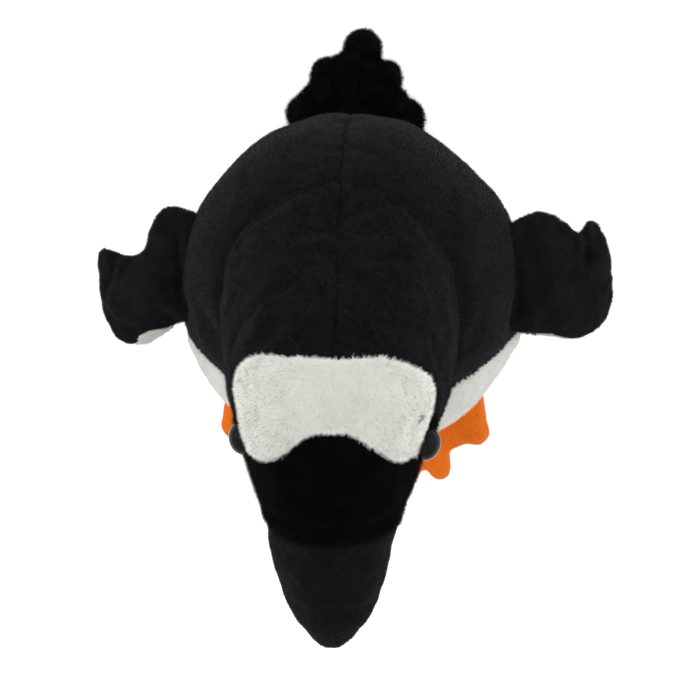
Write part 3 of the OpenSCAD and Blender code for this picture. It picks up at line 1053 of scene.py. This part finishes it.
def smooth_ring(points, n):
    """n points round a closed curve through the given ones."""
    p = np.asarray(points, float)
    m = len(p)
    out = []
    for k in range(n):
        t = k * m / n
        i, f = int(t), t - int(t)
        a, b, c, d = (p[(i + j) % m] for j in (-1, 0, 1, 2))
        out.append(0.5 * (2 * b + (c - a) * f + (2 * a - 5 * b + 4 * c - d) * f ** 2
                          + (3 * b - a - 3 * c + d) * f ** 3))
    return np.array(out)


def pad(name, outline, middle, half, lift, rings=16, n=120):
    """A stuffed pad over a plan outline: `lift` gives its mid-height at a plan point."""
    ring = smooth_ring(outline, n) * MM
    centre = np.array(middle) * MM
    verts, faces = [], []
    for sign in (1, -1):
        for i in range(rings):
            t = math.sin(math.pi / 2 * i / (rings - 1)) if i else 0.02
            for p in ring:
                q = centre + (p - centre) * t
                rise = half * MM * math.sqrt(max(1 - t * t, 0)) ** 0.8
                verts.append((q[0], q[1], lift(q) + sign * rise))
    for s in (0, 1):
        base = s * rings * n
        for i in range(rings - 1):
            for k in range(n):
                f = (base + i * n + k, base + i * n + (k + 1) % n,
                     base + (i + 1) * n + (k + 1) % n, base + (i + 1) * n + k)
                faces.append(f if s == 0 else f[::-1])
    faces.append(tuple(range(n))[::-1])
    faces.append(tuple(range(rings * n, rings * n + n)))
    obj = mesh_object(name, verts, faces)
    bm = bmesh.new()
    bm.from_mesh(obj.data)
    bmesh.ops.remove_doubles(bm, verts=bm.verts, dist=1e-6)
    bmesh.ops.recalc_face_normals(bm, faces=bm.faces)
    bm.to_mesh(obj.data)
    bm.free()
    return obj


# Plan outlines of the two flippers, (across, towards the tail), in design millimetres. Cloth folds by
# chance, so the two differ
FLIPPER_PLANS = {
    "left": [(90, 30), (103, 41.5), (117, 45.5), (130, 40.5), (141.5, 33), (146.5, 39.5), (153, 38),
             (161, 22), (165.5, 2), (165, -16), (155, -30), (140, -34), (119, -31), (101, -28), (90, -22)],
    "right": [(90, 37), (101, 47), (112, 47.5), (119.5, 42), (124.5, 32), (127.5, 22), (134, 18), (146, 18),
              (156.5, 21), (162.3, 12), (163.3, -6), (160, -28), (150, -40), (138, -42), (125, -38),
              (106, -25), (90, -17)],
}


# Creases on top of each flipper: plan ends and depth
FLIPPER_CREASES = {
    "left": [((144, 36), (146, 10), 2.6), ((103, 20), (104, -22), 1.4)],
    "right": [((144, 20), (158, -14), 2.2), ((104, 38), (103, -14), 1.6)],
}


def crease(obj, a, b, depth):
    """A fold pressed into the top of a pad between two plan points, with a soft ridge beside it."""
    co = coords(obj)
    a, b = np.array(a) * MM, np.array(b) * MM
    run = b - a
    t = np.clip((co[:, :2] - a) @ run / (run @ run), 0, 1)
    off = co[:, :2] - (a + t[:, None] * run)
    d = np.linalg.norm(off, axis=1) / MM
    ends = 1 - np.abs(2 * t - 1) ** 4
    inner = np.where(off[:, 0] * np.sign(a[0]) < 0, 1, 0)
    fold = fade(d, 1.9) - 0.55 * inner * fade(d - 4.5, 2.4)
    top = normals(obj)[:, 2] > 0.15
    co[:, 2] -= depth * MM * fold * ends * top
    set_coords(obj, co)


def flipper_lift(q):
    """Height of a flipper's middle at a plan point: it droops outwards, its rear tip turned up."""
    u = abs(q[0]) / MM - 97
    v = q[1] / MM
    z = 121 - 0.2 * u - 0.0095 * max(0, u - 28) ** 2
    z += 9 * math.exp(-((u - 60) ** 2 / 220 + (v - 24) ** 2 / 260))
    z -= 0.10 * max(0, -v - 10)
    return z * MM


# How far the white lining wraps up over the front edge of each flipper, in design millimetres
LINING_SHOWS = {"left": 6.5, "right": 12}

# Inside this distance from the middle, a flipper is sewn to the body
FLIPPER_ROOT = 99 * MM


def above_lining(co, word):
    """Height above the seam that joins a flipper's back to its lining."""
    middle = np.array([flipper_lift(q) for q in co])
    u = np.abs(co[:, 0]) / MM
    wrap = LINING_SHOWS[word] * np.exp(-(((u - 117.5) / 24) ** 2) - (((co[:, 1] / MM + 36) / 11) ** 2))
    return co[:, 2] - middle + (2 - wrap) * MM


def build_flipper(word, seed):
    side = 1 if word == "left" else -1
    outline = [(side * x, y) for x, y in FLIPPER_PLANS[word]]
    bag = pad(f"flipper_{word}_skin", outline, (side * 131, -2), 9.5, flipper_lift)
    rounded(bag, 3 * MM, 2)
    co = coords(bag)
    pinned = fade(above_lining(co, word), 2.4 * MM) * (np.abs(normals(bag)[:, 2]) < 0.5)
    pinned = np.maximum(pinned, np.abs(co[:, 0]) < FLIPPER_ROOT)
    inflate(bag, pinned, 4 * MM, 4.0, -0.04)
    subdivided(bag)
    push_out(bag, value_noise(coords(bag), 14 * MM, seed) * 0.9 * MM)
    for a, b, depth in FLIPPER_CREASES[word]:
        crease(bag, (side * a[0], a[1]), (side * b[0], b[1]), depth)
    top = above_lining(centres(bag), word) > 0
    x0 = side * FLIPPER_ROOT
    bend = ("body", "flipper_" + word, (x0, 0.0115, FLIPPER_Z), (x0 + side * 15 * MM, 0.0115, FLIPPER_Z))
    node = f"flipper_{word}"
    # The back's pile is the lightened copy of the black pile: painted light
    sew(bag, node + "_back", top, "black_plush", bend, [node + "_outer"], thickness=1.2,
        coat=(26000, 2.3 * MM, 0.34 * MM, 0.9, (side, 0, -0.4)), seed=seed, shades="flipper_lit_black")
    sew(bag, node + "_inside", ~top, "white_plush", bend, [node + "_lining"], thickness=1.2,
        coat=(22000, 2.0 * MM, 0.34 * MM, 0.9, (side, 0, -0.4)), seed=seed + 1)
    stuffing(bag, node + "_stuffing", bend, 2.4 * MM)
    discard(bag)


# Toe tips of each foot, the swell of its outer side and its heel, (across, ahead, radius), in design
# millimetres
TOES = {
    "left": [(36, 154, 10.5), (60.5, 151.5, 9.8), (86, 122, 12)],
    "right": [(38, 152, 10.5), (64, 148, 10), (90, 120, 12.5)],
}
FOOT_SIDE = {"left": (80, 99, 13), "right": (86, 98, 13)}
HEEL = (50, 66, 13)


# Height of the toes' middles, and of the seam between a foot's top and sole
TOE_Z = 10.5 * MM
SOLE_Z = 7 * MM


def foot_parts(word, side):
    """Balls for the toes, rolls from the heel to each, and webs between them."""
    heel = np.array([side * HEEL[0] * MM, -HEEL[1] * MM, TOE_Z])
    parts = []
    toes = TOES[word]
    for i, (x, y, r) in enumerate(toes + [FOOT_SIDE[word]]):
        tip = np.array([side * x * MM, -y * MM, TOE_Z])
        parts.append(ball(f"toe{i}", tip, r * 0.93 * MM))
        parts.append(cone_between(f"roll{i}", heel, tip, HEEL[2] * 0.8 * MM, r * 0.9 * MM))
    parts.append(ball("heel", heel, HEEL[2] * 0.85 * MM))
    (tx, ty, tr), (sx, sy, sr) = toes[2], FOOT_SIDE[word]
    swell = (side * sx * MM, -sy * MM, TOE_Z)
    outer_toe = (side * tx * MM, -ty * MM, TOE_Z)
    parts.append(cone_between("edge", swell, outer_toe, sr * 0.88 * MM, tr * 0.88 * MM))
    for a, b in ((0, 1), (1, 2)):
        web = (np.array(toes[a][:2]) + np.array(toes[b][:2])) / 2
        end = np.array([side * web[0] * 0.985 * MM, -web[1] * 0.985 * MM, TOE_Z])
        parts.append(cone_between(f"web{a}", heel, end, 9 * MM, 8.5 * MM))
    return parts


def build_foot(word, seed):
    side = 1 if word == "left" else -1
    bag = rounded(joined(f"foot_{word}_skin", foot_parts(word, side)), 2.8 * MM, 4)
    keep_above(bag, 0.6 * MM)
    co = coords(bag)
    radial = np.linalg.norm(co[:, :2], axis=1)
    pinned = np.maximum(co[:, 2] < 3 * MM, radial < 80 * MM)
    inflate(bag, pinned.astype(float), 2 * MM, 3.0)
    subdivided(bag)
    push_out(bag, value_noise(coords(bag), 9 * MM, seed) * 0.5 * MM)
    keep_above(bag, 0.3 * MM)
    sink_seam(bag, lambda p: p[:, 2] - SOLE_Z, 0.9 * MM, 1.8 * MM)
    top = centres(bag)[:, 2] > SOLE_Z
    ahead = np.array([side * 0.188, -0.982, 0])
    root = np.array([side * 44 * MM, -60 * MM, 8 * MM])
    bend = ("body", "foot_" + word, tuple(root), tuple(root + ahead * 18 * MM))
    node = f"foot_{word}"
    velour = (1.0 * MM, 0.24 * MM, 0.5, (0, -1, 0))
    sew(bag, node + "_upper", top, "orange_velour", bend, [node + "_top"], thickness=1.2,
        coat=(20000, *velour), seed=seed)
    sew(bag, node + "_under", ~top, "orange_velour", bend, [node + "_sole"], thickness=1.2,
        coat=(6000, *velour), seed=seed + 1)
    stuffing(bag, node + "_stuffing", bend, 2.4 * MM)
    discard(bag)


# Puffs of the tail: (across, towards the tail tip, radius, lift), in design millimetres
PUFFS = [
    (-35, 105, 12.5, 0), (-20.5, 130, 12.5, 0), (3.8, 147.5, 13, 0), (18, 127, 12.5, 0), (32, 101, 13, 0),
    (-8, 118, 15, 3), (-8, 136, 10, 0), (25, 112, 11, 0), (-26, 115, 12, 0), (2, 131, 13, 0),
    (8, 113, 15, 3), (-20, 104, 15, 0), (0, 99, 15, 3), (18, 104, 14, 0), (-30, 92, 13, 0),
    (30, 90, 13, 0), (-12, 88, 14, 0), (10, 87, 14, 0),
]


def tail_middle(y):
    """Height of the tail's middle, y design millimetres behind the body's axis, in the same units."""
    return 30 - 0.17 * (y - 90)


def build_tail():
    parts = []
    for i, (x, y, r, lift) in enumerate(PUFFS):
        z = (tail_middle(y) + lift) * MM
        parts.append(ball(f"puff{i}", (x * MM, y * MM, z), r * MM))
    root = (0, 74 * MM, 33 * MM)
    parts.append(cone_between("tail_root", root, (0, 100 * MM, 29 * MM), 13 * MM, 16 * MM))
    bag = rounded(joined("tail_skin", parts), 3.0 * MM, 2)
    co = coords(bag)
    mid = tail_middle(co[:, 1] / MM) * MM
    co[:, 2] = np.maximum(mid + (co[:, 2] - mid) * 0.92, 1.5 * MM)
    set_coords(bag, co)
    pinned = (co[:, 1] < 84 * MM).astype(float)
    inflate(bag, pinned, 2 * MM, 2.0)
    subdivided(bag)
    co = coords(bag)
    lumps = value_noise(co, 8 * MM, 31) * 1.1 + value_noise(co * (1, 1.6, 0.4), 14 * MM, 33) * 1.4
    push_out(bag, lumps * MM)
    keep_above(bag, 1.2 * MM)
    c = centres(bag)
    top = c[:, 2] > tail_middle(c[:, 1] / MM) * MM
    bend = ("body", "tail", (0, 82 * MM, 32 * MM), (0, 102 * MM, 30 * MM))
    shag = (4.2 * MM, 0.42 * MM, 0.7, (0, 1, -0.2))
    sew(bag, "tail_back", top, "tail_plush", bend, ["tail_top"], thickness=1.2,
        coat=(30000, *shag), seed=41)
    sew(bag, "tail_beneath", ~top, "tail_plush", bend, ["tail_under"], thickness=1.2,
        coat=(20000, *shag), seed=42)
    stuffing(bag, "tail_stuffing", bend, 2.4 * MM)
    discard(bag)


# ---- stage ----

# A pale floor that glows a little, so that the ground comes out white with a soft shadow
FLOOR_SIZE = 14
FLOOR_DROP = 0.0006
FLOOR_GLOW = 0.45

# Two weak soft lamps, one at each side, beside an even white sky
LAMPS = {"key": (-1.1, 0.3, 0.95), "fill": (1.1, 0.4, 0.95)}
LAMP_SIZE = 1.0
LAMP_WATTS = 4


def build_floor():
    bpy.ops.mesh.primitive_plane_add(size=FLOOR_SIZE, location=(0, 0, -FLOOR_DROP))
    floor = bpy.context.object
    floor.name = "floor"
    mat, shader = new_material("floor")
    set_inputs(shader, {
        "Base Color": (0.93, 0.93, 0.93, 1),
        "Roughness": 0.9,
        "Emission Color": (1, 1, 1, 1),
        "Emission Strength": FLOOR_GLOW,
    })
    floor.data.materials.append(mat)


def build_lights():
    world = bpy.data.worlds.new("studio")
    world.use_nodes = True
    set_inputs(world.node_tree.nodes["Background"], {"Color": (1, 1, 1, 1), "Strength": 1.0})
    bpy.context.scene.world = world
    bpy.context.scene.view_settings.view_transform = "Standard"
    for name, place in LAMPS.items():
        light = bpy.data.lights.new(name, "AREA")
        light.size = LAMP_SIZE
        light.energy = LAMP_WATTS
        lamp = linked(name, light)
        lamp.location = place
        ahead = Vector((0, 0, 0.1)) - Vector(place)
        lamp.rotation_euler = ahead.to_track_quat("-Z", "Y").to_euler()


# The camera looks almost straight down: its leans off the vertical, its distance and where it aims
LEAN_LEFT = math.radians(3.6)
LEAN_BACK = math.radians(8.0)
CAMERA_AWAY = 700 * MM
AIM_AHEAD = 44.04 * MM


def build_camera():
    """From above and a little behind the toy, over its left side."""
    data = bpy.data.cameras.new("camera")
    data.lens = 56.6
    data.sensor_width = 36
    middle = np.array([0, 0, BODY_R])
    away = np.array([math.sin(LEAN_LEFT), math.sin(LEAN_BACK), 0])
    away[2] = math.sqrt(1 - away @ away)
    place = middle + CAMERA_AWAY * away
    aim = np.array([0, -AIM_AHEAD, BODY_R])
    ahead = (aim - place) / np.linalg.norm(aim - place)
    right = np.cross(ahead, (0, 1, 0))
    right /= np.linalg.norm(right)
    up = np.cross(right, ahead)
    cam = linked("camera", data)
    rows = [[right[i], up[i], -ahead[i], place[i]] for i in range(3)]
    cam.matrix_world = Matrix(rows + [[0, 0, 0, 1]])
    bpy.context.scene.camera = cam


build_body()
build_pouch()
HEAD_BAG = build_head()
for WORD, SIDE, FLIPPER_SEED, FOOT_SEED in (("left", 1, 51, 71), ("right", -1, 61, 81)):
    build_eye(HEAD_BAG, SIDE, WORD)
    build_flipper(WORD, FLIPPER_SEED)
    build_foot(WORD, FOOT_SEED)
discard(HEAD_BAG)
build_tail()
build_floor()
build_lights()
build_camera()
